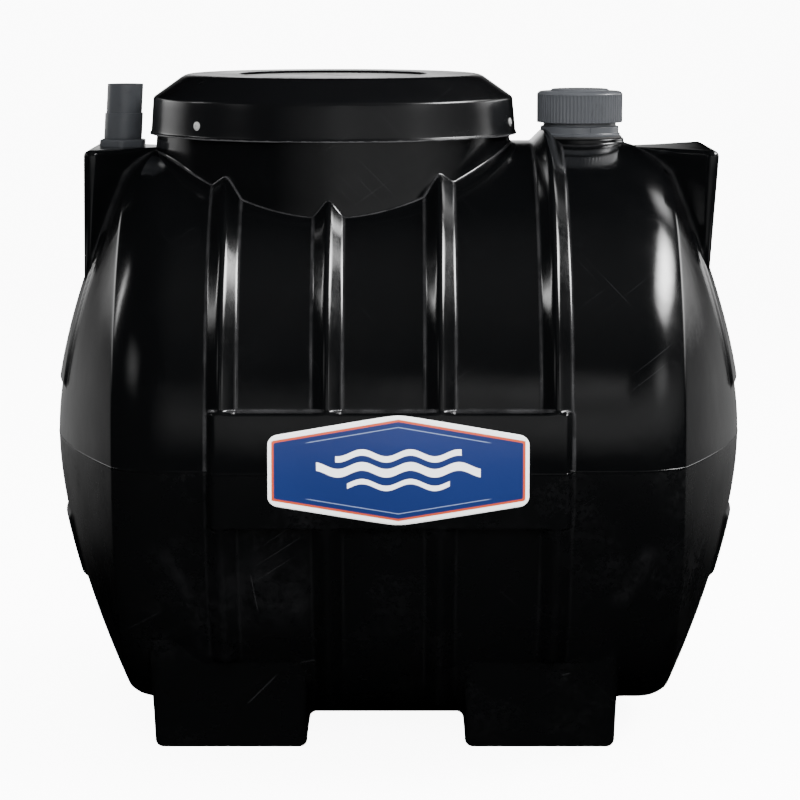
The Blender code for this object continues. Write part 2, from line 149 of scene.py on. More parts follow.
def barrel_section():
    """Outline (x, radius) of the whole barrel, left tip to right tip, fine where ribs rise."""
    end = end_section()
    left = end * [-1.0, 1.0]
    stops = [-SHOULDER_START]
    for centre in RIB_CENTRES:
        stops += [centre - 0.028, centre + 0.028]
    stops += [SHOULDER_START]
    runs = [spread(low, high, 0.0017 if index % 2 else 0.0085)[1:]
            for index, (low, high) in enumerate(zip(stops, stops[1:]))]
    middle = np.concatenate(runs)[:-1]
    barrel = np.stack([middle, np.full_like(middle, BARREL_RADIUS)], axis=1)
    return np.concatenate([left, barrel, end[::-1]])


SECTION = barrel_section()
HALF_SECTION = SECTION[SECTION[:, 0] >= 0.0]


def slimming(x, angle):
    """How far the shoulders draw in below the axis: a hump along x times an ease with angle."""
    out = np.abs(x)
    hump = (ease((out - SLIM_START) / (SLIM_MIDDLE - SLIM_START))
            * (1.0 - ease((out - SLIM_MIDDLE) / (SLIM_END - SLIM_MIDDLE))))
    below = np.arcsin(np.clip(-np.sin(angle), 0.0, 1.0))
    return SLIM * hump * ease((below - 0.08) / 1.15)


def raised(x, angle):
    """Height of ribs and pad over the barrel: 1 - (1 - pad)(1 - ribs), each a plateau."""
    arc = BARREL_RADIUS * np.arcsin(np.clip(np.sin(angle), -1.0, 1.0))
    low, high = (BARREL_RADIUS * math.asin(z / (BARREL_RADIUS + RAISE)) for z in PAD_Z)
    pad = (plateau(x, *PAD_X, PAD_SLOPE, EDGE_BLEND, EDGE_BLEND)
           * plateau(arc, low, high, PAD_LEDGE, 0.0030, 0.0017))
    ribs = 0.0
    for centre, end in zip(RIB_CENTRES, RIB_LOWER_ENDS):
        stop = BARREL_RADIUS * math.asin(end / BARREL_RADIUS) + RIB_END_SLOPE
        ribs = ribs + (plateau(x, centre - RIB_TOP_HALF, centre + RIB_TOP_HALF, RIB_SLOPE,
                               EDGE_BLEND, RIB_CREST_BLEND)
                       * plateau(arc, stop, 9.0, RIB_END_SLOPE, 0.005, 0.005))
    return RAISE * (1.0 - (1.0 - pad) * (1.0 - ribs))


def end_bands(y, z):
    """Height of the shallow bands that run down each dome from its box, as plateaus."""
    across = plateau(y, -BAND_HALF_WIDTH, BAND_HALF_WIDTH, BAND_SLOPE, EDGE_BLEND, EDGE_BLEND)
    down = sum(plateau(z, *band, BAND_SLOPE, EDGE_BLEND, EDGE_BLEND)
               for band in (UPPER_BAND, LOWER_BAND))
    return BAND_HEIGHT * across * down


def body_radius(x, angle):
    """Distance of the skin from the axis at x and the angle up from the front."""
    plain = np.interp(np.abs(x), HALF_SECTION[:, 0], HALF_SECTION[:, 1])
    return plain - slimming(x, angle) + raised(x, angle)


def grid_faces(rows, columns, wrap):
    """Corners of each cell of a grid of points, row by row; wrap joins last column to first."""
    row = np.arange(rows - 1)[:, None] * columns
    here = np.arange(columns if wrap else columns - 1)[None, :]
    beside = (here + 1) % columns
    corners = [row + here, row + beside, row + columns + beside, row + columns + here]
    return np.stack(corners, axis=-1).reshape(-1, 4)


def skin(name, points, material, wrap=False, poles=(None, None), inside=None, corner_highlight=None):
    """Make a smooth piece from a (rows, columns, 3) grid, with fans to poles at its ends.

    Faces are turned so that they look away from the point inside. The last argument holds a painted
    highlight along inner corners, a value for each point, kept as a point attribute that the material
    paints as a pale line.
    """
    rows, columns = points.shape[:2]
    vertices = points.reshape(-1, 3)
    quads = grid_faces(rows, columns, wrap)
    here = np.arange(columns if wrap else columns - 1)
    beside = (here + 1) % columns
    fans = []
    for pole, start, swap in ((poles[0], 0, True), (poles[1], (rows - 1) * columns, False)):
        if pole is None:
            continue
        vertices = np.concatenate([vertices, [pole]])
        tip = np.full_like(here, len(vertices) - 1)
        pair = (beside, here) if swap else (here, beside)
        fans.append(np.stack([start + pair[0], start + pair[1], tip], axis=-1))
    if inside is None:
        inside = vertices.mean(axis=0)
    a, b, c, d = (vertices[quads[:, k]] for k in range(4))
    facing = np.cross(c - a, d - b)
    outward = np.sum(facing * ((a + b + c + d) / 4 - inside))
    faces = quads.tolist() + [face for fan in fans for face in fan.tolist()]
    if outward < 0:
        faces = [face[::-1] for face in faces]
    mesh = bpy.data.meshes.new(name)
    mesh.from_pydata(vertices.tolist(), [], faces)
    mesh.shade_smooth()
    mesh.materials.append(material)
    # Values of the painted corner highlight go on as a point attribute.
    if corner_highlight is not None:
        corner_shine = np.zeros(len(vertices), dtype=np.float32)
        corner_shine[:corner_highlight.size] = corner_highlight.ravel()
        mesh.attributes.new("painted_corner_highlight", "FLOAT", "POINT").data.foreach_set("value", corner_shine)
    piece = bpy.data.objects.new(name, mesh)
    bpy.context.scene.collection.objects.link(piece)
    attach(piece, "root")
    return piece


def new_group(name, inputs, outputs):
    """Start a shader node group with float, vector or colour sockets, and return its tree."""
    kinds = {"float": "NodeSocketFloat", "vector": "NodeSocketVector", "colour": "NodeSocketColor"}
    tree = bpy.data.node_groups.new(name, "ShaderNodeTree")
    for socket, kind, value in inputs:
        made = tree.interface.new_socket(socket, in_out="INPUT", socket_type=kinds[kind])
        if value is not None:
            made.default_value = value
    for socket, kind in outputs:
        tree.interface.new_socket(socket, in_out="OUTPUT", socket_type=kinds[kind])
    tree.nodes.new("NodeGroupInput")
    tree.nodes.new("NodeGroupOutput")
    return tree


def node(tree, kind, links=(), **settings):
    """Add a node; settings whose name is an input's go there, the others are properties."""
    made = tree.nodes.new("ShaderNode" + kind)
    for key, value in settings.items():
        if hasattr(made, key):
            setattr(made, key, value)
    for key, value in settings.items():
        if not hasattr(made, key):
            made.inputs[key.replace("_", " ")].default_value = value
    for socket, source in dict(links).items():
        tree.links.new(source, made.inputs[socket])
    return made


def noise(tree, place, scale, detail=2.0, roughness=0.5, stretch=None):
    """Noise output at a place, with the place stretched first where that is asked."""
    if stretch is not None:
        place = node(tree, "Mapping", {"Vector": place}, Scale=stretch).outputs["Vector"]
    made = node(tree, "TexNoise", {"Vector": place}, Scale=scale, Detail=detail)
    made.inputs["Roughness"].default_value = roughness
    return made.outputs["Fac"]


def reach(tree, value, low, high, to_low=0.0, to_high=1.0):
    """Carry a value from one range to another, held at both ends."""
    made = node(tree, "MapRange", {"Value": value})
    for socket, number in (("From Min", low), ("From Max", high), ("To Min", to_low),
                           ("To Max", to_high)):
        made.inputs[socket].default_value = number
    return made.outputs["Result"]


def calc(tree, operation, first, second=None):
    """One arithmetic step; either side may be a number or a socket."""
    made = node(tree, "Math", operation=operation)
    for index, value in enumerate((first, second)):
        if value is None:
            continue
        if isinstance(value, (int, float)):
            made.inputs[index].default_value = value
        else:
            tree.links.new(value, made.inputs[index])
    return made.outputs["Value"]


def product(tree, first, *others):
    """Multiply values one after another; each may be a number or a socket."""
    for value in others:
        first = calc(tree, "MULTIPLY", first, value)
    return first


def blend_colour(tree, share, first, second):
    """Mix two colours; each may be numbers or a socket."""
    made = node(tree, "Mix", {"Factor": share}, data_type="RGBA")
    for index, value in ((6, first), (7, second)):
        if isinstance(value, tuple):
            made.inputs[index].default_value = (*value, 1.0)
        else:
            tree.links.new(value, made.inputs[index])
    return made.outputs[2]


def moulded_surface_group():
    """Height of a spun plastic skin: slow waves, shallow ripple and a fine orange peel."""
    tree = new_group("moulded_surface", [("Place", "vector", None), ("Waves", "float", 1.0),
                                         ("Peel", "float", 1.0)], [("Height", "float")])
    given = tree.nodes["Group Input"].outputs
    place = given["Place"]
    slow = noise(tree, place, 5.5, 1.0)
    ripple = product(tree, noise(tree, place, 17.0, 2.0), 0.16)
    waves = product(tree, calc(tree, "ADD", slow, ripple), given["Waves"])
    peel = product(tree, noise(tree, place, 260.0, 2.0), 0.0042, given["Peel"])
    tree.links.new(calc(tree, "ADD", waves, peel), tree.nodes["Group Output"].inputs["Height"])
    return tree


def handling_group():
    """Masks of handling: fine crossing scratches, and cloudy rubbed patches."""
    tree = new_group("handling", [("Place", "vector", None)],
                     [("Scratches", "float"), ("Rubbed", "float")])
    place = tree.nodes["Group Input"].outputs["Place"]
    thin = []
    for turn, stretch in ((0.6, (4.0, 4.0, 420.0)), (-0.8, (5.0, 5.0, 520.0))):
        slanted = node(tree, "Mapping", {"Vector": place}, Rotation=(0.0, turn, 0.0))
        lines = noise(tree, slanted.outputs["Vector"], 1.0, 1.0, 0.4, stretch)
        thin.append(reach(tree, lines, 0.74, 0.80))
    where = reach(tree, noise(tree, place, 7.0, 3.0), 0.50, 0.62)
    scratches = product(tree, calc(tree, "MAXIMUM", *thin), where)
    cloud = reach(tree, noise(tree, place, 9.0, 5.0, 0.62), 0.50, 0.72)
    speck = reach(tree, noise(tree, place, 120.0, 3.0, 0.7), 0.42, 0.70)
    rubbed = product(tree, cloud, speck)
    outputs = tree.nodes["Group Output"].inputs
    tree.links.new(scratches, outputs["Scratches"])
    tree.links.new(rubbed, outputs["Rubbed"])
    return tree


MOULDED_SURFACE = moulded_surface_group()
HANDLING = handling_group()


def stroke(tree, parts, start, end, width):
    """Mask of one straight mark on the front, from start to end (x, z), by distance to its line."""
    (x_start, z_start), (x_end, z_end) = start, end
    length = math.hypot(x_end - x_start, z_end - z_start)
    along_x, along_z = (x_end - x_start) / length, (z_end - z_start) / length
    x = calc(tree, "SUBTRACT", parts["X"], x_start)
    z = calc(tree, "SUBTRACT", parts["Z"], z_start)
    along = calc(tree, "ADD", product(tree, x, along_x), product(tree, z, along_z))
    beside = calc(tree, "SUBTRACT", product(tree, x, along_z), product(tree, z, along_x))
    past = calc(tree, "ABSOLUTE", calc(tree, "SUBTRACT", along, 0.5 * length))
    return product(tree, reach(tree, past, 0.5 * length, 0.35 * length),
                   reach(tree, calc(tree, "ABSOLUTE", beside), width, 0.3 * width),
                   calc(tree, "LESS_THAN", parts["Y"], 0.0))


def new_material(name):
    """Start a material and return its tree, its Principled shader and its Object coordinates."""
    material = bpy.data.materials.new(name)
    material.use_nodes = True
    tree = material.node_tree
    place = node(tree, "TexCoord").outputs["Object"]
    return material, tree, tree.nodes["Principled BSDF"], place


def use_group(tree, group, links, **values):
    """Place a node group with its own values."""
    made = tree.nodes.new("ShaderNodeGroup")
    made.node_tree = group
    for socket, source in links.items():
        tree.links.new(source, made.inputs[socket])
    for socket, value in values.items():
        made.inputs[socket].default_value = value
    return made.outputs


def surfaced(tree, shader, colour, rough, height, depth):
    """Lead a colour, a roughness and a bumped height into the shader.

    Roughness may be a number or a socket; depth is in metres for a height of one.
    """
    tree.links.new(colour, shader.inputs["Base Color"])
    if isinstance(rough, float):
        shader.inputs["Roughness"].default_value = rough
    else:
        tree.links.new(rough, shader.inputs["Roughness"])
    made = node(tree, "Bump", {"Height": height}, Strength=1.0, Distance=depth)
    tree.links.new(made.outputs["Normal"], shader.inputs["Normal"])


def black_polyethylene():
    """Glossy black polyethylene: greyer where rubbed, duller below the parting line, with scratches,
    painted glints and a painted highlight along inner corners.
    """
    material, tree, shader, place = new_material("black_polyethylene")
    parts = node(tree, "SeparateXYZ", {"Vector": place}).outputs
    below = reach(tree, parts["Z"], AXIS_HEIGHT + 0.002, AXIS_HEIGHT - 0.004)
    marks = use_group(tree, HANDLING, {"Place": place})
    rubbed = product(tree, marks["Rubbed"], reach(tree, below, 0.0, 1.0, 0.35, 1.0))
    grain = reach(tree, noise(tree, place, 38.0, 8.0, 0.78), 0.38, 0.66)
    for start, end, width in SCUFFS:
        scuff = product(tree, stroke(tree, parts, start, end, width), grain)
        rubbed = calc(tree, "MAXIMUM", rubbed, scuff)
    # Scratches, and painted glints where fillets catch the light, lighten the black.
    scratches_and_glints = marks["Scratches"]
    for start, end, width in SCRATCH_AND_GLINT_STROKES:
        scratches_and_glints = calc(tree, "MAXIMUM", scratches_and_glints, stroke(tree, parts, start, end, width))
    tone = noise(tree, place, 3.0, 3.0)
    black = blend_colour(tree, tone, (0.0008, 0.0009, 0.0010), (0.0015, 0.0016, 0.0018))
    # Painted highlight: the corner attribute lightens the black to a pale grey line along inner
    # corners and fillets, patchy, and weaker below the parting line.
    corner_shine = node(tree, "Attribute", attribute_name="painted_corner_highlight").outputs["Fac"]
    patchy = reach(tree, noise(tree, place, 24.0, 4.0, 0.65), 0.36, 0.62, 0.25, 1.0)
    upper = reach(tree, below, 0.0, 1.0, 1.0, 0.10)
    corner_highlight = product(tree, corner_shine, patchy, upper)
    black = blend_colour(tree, corner_highlight, black, (0.022, 0.022, 0.023))
    greyed = blend_colour(tree, product(tree, rubbed, 0.5), black, (0.007, 0.007, 0.008))
    marked = blend_colour(tree, product(tree, scratches_and_glints, 0.6), greyed, (0.012, 0.012, 0.013))
    plain = reach(tree, noise(tree, place, 11.0, 4.0, 0.6), 0.3, 0.7, 0.10, 0.19)
    dull = calc(tree, "ADD", plain, product(tree, below, 0.13))
    rough = calc(tree, "MINIMUM", calc(tree, "ADD", dull, product(tree, rubbed, 0.25)), 0.8)
    surface = use_group(tree, MOULDED_SURFACE, {"Place": place}, Waves=1.0, Peel=1.0)
    shader.inputs["IOR"].default_value = 1.49
    surfaced(tree, shader, marked, rough, surface["Height"], 0.0024)
    return material


BLACK_POLYETHYLENE = black_polyethylene()


def half_angles(lower):
    """Angles of one half from the front over (or under) to the back, fine at pad and rib ends.

    Each fine stretch is given by its height from the axis, its width and its step in radians.
    """
    tight = [(PAD_Z[1], 0.034, 0.0028)]
    if lower:
        tight = [(-PAD_Z[0], 0.034, 0.0028), (0.289, 0.045, 0.006), (0.366, 0.055, 0.008)]
    quarter = [np.array([0.0, 0.5 * math.pi])]
    for z, width, step in tight:
        middle = math.asin(z / (BARREL_RADIUS + RAISE * (z < 0.1)))
        quarter.append(np.arange(middle - width / 2 - 0.012, middle + width / 2 + 0.012, step))
    fine = np.sort(np.concatenate(quarter))
    coarse = np.arange(0.0, 0.5 * math.pi, ROUND_STEP)
    gap = np.abs(coarse[:, None] - fine[None, :]).min(axis=1)
    front = np.sort(np.concatenate([fine, coarse[gap > 0.45 * ROUND_STEP]]))
    angles = np.concatenate([front, math.pi - front[::-1][1:]])
    return -angles if lower else angles


def painted_corner_highlight(x, angle):
    """Painted highlight along the inner corners: one where the raised height bends up within a step
    each way.
    """
    step = 0.0022
    turn = step / BARREL_RADIUS
    here = 2 * raised(x, angle)
    bend = np.maximum(raised(x + step, angle) + raised(x - step, angle) - here,
                      raised(x, angle + turn) + raised(x, angle - turn) - here)
    return ease((bend - 0.0002) / 0.0012)


def barrel_skin(name, lower):
    """Half of the barrel: x along the section, y and z from its radius and the angle round."""
    angle = half_angles(lower)[None, :]
    x, radius = SECTION[:, :1], SECTION[:, 1:]
    slope = np.gradient(SECTION, axis=0)
    slope /= np.linalg.norm(slope, axis=1, keepdims=True)
    lean_out, lean_along = slope[:, :1], -slope[:, 1:]
    on_dome = np.abs(x) > SHOULDER_START
    bands = np.where(on_dome, end_bands(-radius * np.cos(angle), radius * np.sin(angle)), 0.0)
    far = radius + lean_out * bands + raised(x, angle) * ~on_dome - slimming(x, angle)
    along = x + lean_along * bands
    points = np.stack([along + 0 * far, -far * np.cos(angle), AXIS_HEIGHT + far * np.sin(angle)],
                      axis=-1)
    tips = [np.array([side * DOME_TIP, 0.0, AXIS_HEIGHT]) for side in (-1, 1)]
    # The inner corners of ribs and pad get a painted highlight.
    return skin(name, points, BLACK_POLYETHYLENE, poles=tips,
                inside=np.array([0.0, 0.0, AXIS_HEIGHT]), corner_highlight=painted_corner_highlight(x, angle))


upper_skin = barrel_skin("barrel_upper_skin", lower=False)
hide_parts("upper_shell", "left_end", "right_end", "left_end_rib_upper",
            "right_end_rib_upper", "front_pad", "back_pad",
            *(f"{face}_rib_upper_{number}" for face in ("front", "back") for number in range(1, 5)))
lower_skin = barrel_skin("barrel_lower_skin", lower=True)
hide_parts("lower_shell", "left_end_rib_lower", "right_end_rib_lower",
            *(f"{face}_rib_lower_{number}" for face in ("front", "back") for number in range(1, 5)))


# The feet. Two broad hollow blocks, moulded in one with the underside of the barrel: their sides
# stand upright, their front and back slope in to the ground, and a soft fillet joins them on.

FEET = {"left_foot": (-0.3540, -0.1315), "right_foot": (0.0955, 0.3145)}
FOOT_GROUND_HALF = 0.240
FOOT_TOP = 0.175
FOOT_TOP_HALF = 0.328
FOOT_DRAFT = 0.001
FOOT_CORNER = 0.014
FOOT_FILLET = 0.011


def corner_arc(corner, first, second, radius, steps):
    """Arc tangent to two faces at their common corner, from the first to the second.

    Its centre is the corner plus the radius times the sum of the normals over one plus the
    cosine between them. A negative radius rounds an outer edge, a positive one fills an inner corner.
    """
    cosine = np.clip(np.sum(first * second, axis=-1, keepdims=True), -1.0, 0.99999)
    centre = corner + radius * (first + second) / (1 + cosine)
    swing = np.arccos(cosine)
    share = np.linspace(0.0, 1.0, steps)[:, None, None]
    normal = (np.sin((1 - share) * swing) * first + np.sin(share * swing) * second) / np.sin(swing)
    return centre - radius * normal


def rounded_outline(corners, radius, cells):
    """Rounded polygon through corners (x, y), counter-clockwise, with its outward normals.

    Each side has its own number of cells and each corner eight points of an arc.
    """
    corners = np.array(corners)
    side = np.roll(corners, -1, axis=0) - corners
    side /= np.linalg.norm(side, axis=1, keepdims=True)
    after = np.stack([side[:, 1], -side[:, 0]], axis=1)
    before = np.roll(after, 1, axis=0)
    arcs = corner_arc(corners, before, after, -radius, 8).transpose(1, 0, 2)
    points, normals = [], []
    for index, count in enumerate(cells):
        points.append(arcs[index])
        swing = np.linspace(0.0, 1.0, 8)[:, None]
        blend = (1 - swing) * before[index] + swing * after[index]
        normals.append(blend / np.linalg.norm(blend, axis=1, keepdims=True))
        share = np.linspace(0.0, 1.0, count + 1)[1:-1, None]
        end = arcs[(index + 1) % len(cells)][0]
        points.append(arcs[index][-1] + share * (end - arcs[index][-1]))
        normals.append(np.repeat(after[index][None], len(share), axis=0))
    return np.concatenate(points), np.concatenate(normals)


def beyond_body(place):
    """How far a place lies outside the moulded skin, measured from the barrel's axis."""
    y, z = place[..., 1], place[..., 2] - AXIS_HEIGHT
    return np.hypot(y, z) - body_radius(place[..., 0], np.arctan2(z, -y))


def body_normal(place):
    """Outward direction of the skin: the slope of beyond_body by small differences."""
    step = 0.0015
    slope = np.stack([beyond_body(place + offset) - beyond_body(place - offset)
                      for offset in np.eye(3) * step], axis=-1)
    return slope / np.linalg.norm(slope, axis=-1, keepdims=True)


def meets_body(start, direction, far):
    """Distance along each line to the skin, by halving the range forty times."""
    near, past = np.zeros(len(start)), np.full(len(start), far)
    for _ in range(40):
        middle = (near + past) / 2
        outside = beyond_body(start + middle[:, None] * direction) > 0
        near, past = np.where(outside, middle, near), np.where(outside, past, middle)
    return (near + past) / 2


def block_skin(name, near_loop, far_loop, flat, wall_normal, edge, fillet, material,
               highlight_share=0.3):
    """A block with a flat outer face whose walls run into the body, as rows of loops.

    Rows: flat face, rounded edge, wall, fillet, and a skirt sunk just under the body's skin.
    Lines go from near_loop to far_loop; flat is the outer face's direction. The edge is rounded less
    than the loop's corners. The last argument is the strength of a painted highlight along the
    fillet.
    """
    line = far_loop - near_loop
    length = np.linalg.norm(line, axis=1, keepdims=True)
    line = line / length
    depth = meets_body(near_loop, line, float(length.max()))[:, None]
    foot = near_loop + depth * line
    ground = body_normal(foot)
    flat_normal = np.broadcast_to(flat, foot.shape)
    edge_size = np.minimum(edge, 0.45 * depth)
    cosine = np.sum(wall_normal * ground, axis=1, keepdims=True)
    reach_up = np.sqrt(np.clip((1 - cosine) / (1 + cosine), 0.0, 9.0))
    fillet_size = np.minimum(fillet, 0.45 * depth / np.maximum(reach_up, 0.2))
    round_edge = corner_arc(near_loop, flat_normal, wall_normal, -edge_size, 7)
    into_body = corner_arc(foot, wall_normal, ground, fillet_size, 8)
    share = np.linspace(0.0, 1.0, 9)[1:-1, None, None]
    wall = round_edge[-1] + share * (into_body[0] - round_edge[-1])
    away = wall_normal - cosine * ground
    away /= np.maximum(np.linalg.norm(away, axis=1, keepdims=True), 1e-6)
    skirt = into_body[-1] + 0.004 * away - 0.0016 * ground
    middle = round_edge[0].mean(axis=0)
    shrink = np.linspace(0.08, 1.0, 7)[:-1, None, None]
    face = middle + shrink * (round_edge[0] - middle)
    points = np.concatenate([face, round_edge, wall, into_body, skirt[None]])
    # A painted highlight along the fillet rows, strongest in their middle.
    corner_highlight = np.zeros(points.shape[:2])
    corner_highlight[-8:-1] = highlight_share * np.array([0.0, 0.3, 0.8, 1.0, 1.0, 0.8, 0.4])[:, None]
    return skin(name, points, material, wrap=True, poles=(middle, None),
                inside=foot.mean(axis=0), corner_highlight=corner_highlight)


def drafted_normals(plan_normals, near_loop, far_loop):
    """Outward normals of leaning walls: the plan's normal made square to each wall's line."""
    line = far_loop - near_loop
    line = line / np.linalg.norm(line, axis=1, keepdims=True)
    normal = np.concatenate([plan_normals, np.zeros((len(plan_normals), 1))], axis=1)
    normal = normal - np.sum(normal * line, axis=1, keepdims=True) * line
    return normal / np.linalg.norm(normal, axis=1, keepdims=True)


def foot_skin(name, x_low, x_high):
    """One foot as a block skin that stands up from the ground into the barrel."""
    left, right, half = x_low + FOOT_DRAFT, x_high - FOOT_DRAFT, FOOT_GROUND_HALF
    corners = [(left, -half), (right, -half), (right, half), (left, half)]
    low, normals = rounded_outline(corners, FOOT_CORNER, (36, 80, 36, 80))
    high = low.copy()
    high[:, 1] *= FOOT_TOP_HALF / FOOT_GROUND_HALF
    middle = (x_low + x_high) / 2
    high[:, 0] += FOOT_DRAFT * np.sign(high[:, 0] - middle)
    low_loop = np.concatenate([low, np.zeros((len(low), 1))], axis=1)
    high_loop = np.concatenate([high, np.full((len(high), 1), FOOT_TOP)], axis=1)
    walls = drafted_normals(normals, low_loop, high_loop)
    piece = block_skin(name + "_skin", low_loop, high_loop, np.array([0.0, 0.0, -1.0]), walls,
                       0.8 * FOOT_CORNER, FOOT_FILLET, BLACK_POLYETHYLENE)
    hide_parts(name)


for foot_name, foot_x in FEET.items():
    foot_skin(foot_name, *foot_x)


# The shoulder boxes. A box is moulded on each upper shoulder so that a pipe can be fitted square
# to its flat outer wall; it is hollow, open to the tank, and its sides run obliquely inwards.

BOX_HALF_WIDTH = 0.143
BOX_TOP = 0.4213
BOX_BOTTOM = 0.150
BOX_INNER = 0.349
BOX_INNER_HALF = 0.024
BOX_OUTER = {"left_box": (0.4575, 0.4599), "right_box": (0.4665, 0.4481)}
BOX_CORNER = 0.011
BOX_FILLET = 0.007


def box_skin(name, side):
    """One box as a block skin that hangs from its flat top down onto the dome and shoulder."""
    outer_top, outer_bottom = BOX_OUTER[name]
    loops = []
    for outer, height in ((outer_top, BOX_TOP), (outer_bottom, BOX_BOTTOM)):
        corners = [(BOX_INNER, -BOX_INNER_HALF), (outer, -BOX_HALF_WIDTH),
                   (outer, BOX_HALF_WIDTH), (BOX_INNER, BOX_INNER_HALF)]
        outline, normals = rounded_outline(corners, BOX_CORNER, (44, 60, 44, 6))
        loops.append(np.stack([side * outline[:, 0], outline[:, 1],
                               np.full(len(outline), AXIS_HEIGHT + height)], axis=1))
    near_loop, far_loop = loops
    walls = drafted_normals(normals * [side, 1.0], near_loop, far_loop)
    piece = block_skin(name + "_skin", near_loop, far_loop, np.array([0.0, 0.0, 1.0]), walls,
                       0.8 * BOX_CORNER, BOX_FILLET, BLACK_POLYETHYLENE)
    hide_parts(name)


box_skin("left_box", -1)
box_skin("right_box", 1)


# The manhole neck. A round collar of the same moulding rises from the barrel left of the middle,
# tapers a little to its rim, and is joined to the barrel and to the rib ends by a fillet.

MANHOLE_X = -0.0972
NECK_TOP = 0.4880
NECK_TOP_RADIUS = 0.2590
NECK_BASE = 0.200
NECK_BASE_RADIUS = 0.2765
NECK_FILLET = 0.004


def upright_loop(x, radius, height, angle):
    """Circle of points round an upright line over the barrel's axis, height above the axis."""
    return np.stack([x + radius * np.cos(angle), radius * np.sin(angle),
                     np.full_like(angle, AXIS_HEIGHT + height)], axis=1)


def neck_skin():
    """The neck as a block skin about its own upright line."""
    angle = np.linspace(0.0, 2 * math.pi, 361)[:-1]
    near_loop = upright_loop(MANHOLE_X, NECK_TOP_RADIUS, NECK_TOP, angle)
    far_loop = upright_loop(MANHOLE_X, NECK_BASE_RADIUS, NECK_BASE, angle)
    walls = drafted_normals(np.stack([np.cos(angle), np.sin(angle)], axis=1), near_loop, far_loop)
    # The fillet at the neck's foot gets the full painted highlight.
    piece = block_skin("manhole_neck_skin", near_loop, far_loop, np.array([0.0, 0.0, 1.0]), walls,
                       0.003, NECK_FILLET, BLACK_POLYETHYLENE, highlight_share=1.0)
    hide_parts("manhole_neck")


neck_skin()


# The manhole lid. A separate moulding of black polyethylene with a shallow sunk disc, a sloping
# shoulder and a deep skirt that drops over the neck; its lower edge is trimmed with a knife.

LID_TOP = 0.5287
LID_DISC_RADIUS = 0.141
LID_DISC_DEPTH = 0.0030
LID_FLAT_RADIUS = 0.2185
LID_SHOULDER = 0.4949
LID_SHOULDER_RADIUS = 0.2664
LID_SKIRT_RADIUS = 0.2706
LID_RIM_RADIUS = 0.2724
LID_BOTTOM = 0.4405
LID_RIM_HEIGHT = 0.0022
LID_WALL = 0.006


def rounded_profile(corners):
    """Outline (radius, height) through corners (radius, height, rounding), each cut by a curve.

    The curve is a parabola from one rounding before the corner to one rounding after it.
    """
    place = np.array([(r, z) for r, z, _ in corners])
    t = np.linspace(0.0, 1.0, 6)[:, None]
    outline = [place[:1]]
    for index in range(1, len(corners) - 1):
        before, here, after = place[index - 1], place[index], place[index + 1]
        size = corners[index][2]
        first = here + (before - here) * min(0.45, size / np.linalg.norm(before - here))
        last = here + (after - here) * min(0.45, size / np.linalg.norm(after - here))
        outline.append((1 - t) ** 2 * first + 2 * t * (1 - t) * here + t * t * last)
    outline.append(place[-1:])
    return np.concatenate(outline)


def turned(name, profile, x, columns, material, shape=None, poles=(False, False)):
    """Turn an outline about an upright line at x; shape may move the points (angle, r, z)."""
    angle = np.linspace(0.0, 2 * math.pi, columns + 1)[None, :-1]
    radius = profile[:, :1] + 0 * angle
    height = profile[:, 1:] + 0 * angle
    if shape is not None:
        radius, height = shape(angle, radius, height)
    points = np.stack([x + radius * np.cos(angle), radius * np.sin(angle), AXIS_HEIGHT + height],
                      axis=-1)
    ends = [np.array([x, 0.0, points[row, :, 2].mean()]) if wanted else None
            for row, wanted in zip((0, -1), poles)]
    inside = np.array([x, 0.0, AXIS_HEIGHT + profile[:, 1].min() - 0.05])
    return skin(name, points, material, wrap=True, poles=ends, inside=inside)


def lid_polyethylene():
    """Satin black polyethylene of the lid, paler and rough along the knife-trimmed edge."""
    material, tree, shader, place = new_material("lid_polyethylene")
    height = node(tree, "SeparateXYZ", {"Vector": place}).outputs["Z"]
    marks = use_group(tree, HANDLING, {"Place": place})
    edge = AXIS_HEIGHT + LID_BOTTOM
    ragged = calc(tree, "ADD", height,
                  product(tree, noise(tree, place, 75.0, 4.0, 0.75), -0.0052))
    trimmed = reach(tree, ragged, edge - 0.0002, edge - 0.0012)
    black = blend_colour(tree, noise(tree, place, 4.0, 3.0), (0.0012, 0.0013, 0.0015),
                         (0.0022, 0.0023, 0.0026))
    scratches = product(tree, marks["Scratches"], 0.4)
    worn = blend_colour(tree, scratches, black, (0.012, 0.012, 0.013))
    cut = blend_colour(tree, trimmed, worn, (0.030, 0.030, 0.032))
    plain = reach(tree, noise(tree, place, 13.0, 4.0, 0.6), 0.3, 0.7, 0.18, 0.28)
    rough = calc(tree, "ADD", plain, product(tree, trimmed, 0.35))
    surface = use_group(tree, MOULDED_SURFACE, {"Place": place}, Waves=0.8, Peel=1.3)
    shader.inputs["IOR"].default_value = 1.49
    surfaced(tree, shader, cut, rough, surface["Height"], 0.0022)
    return material


LID_POLYETHYLENE = lid_polyethylene()


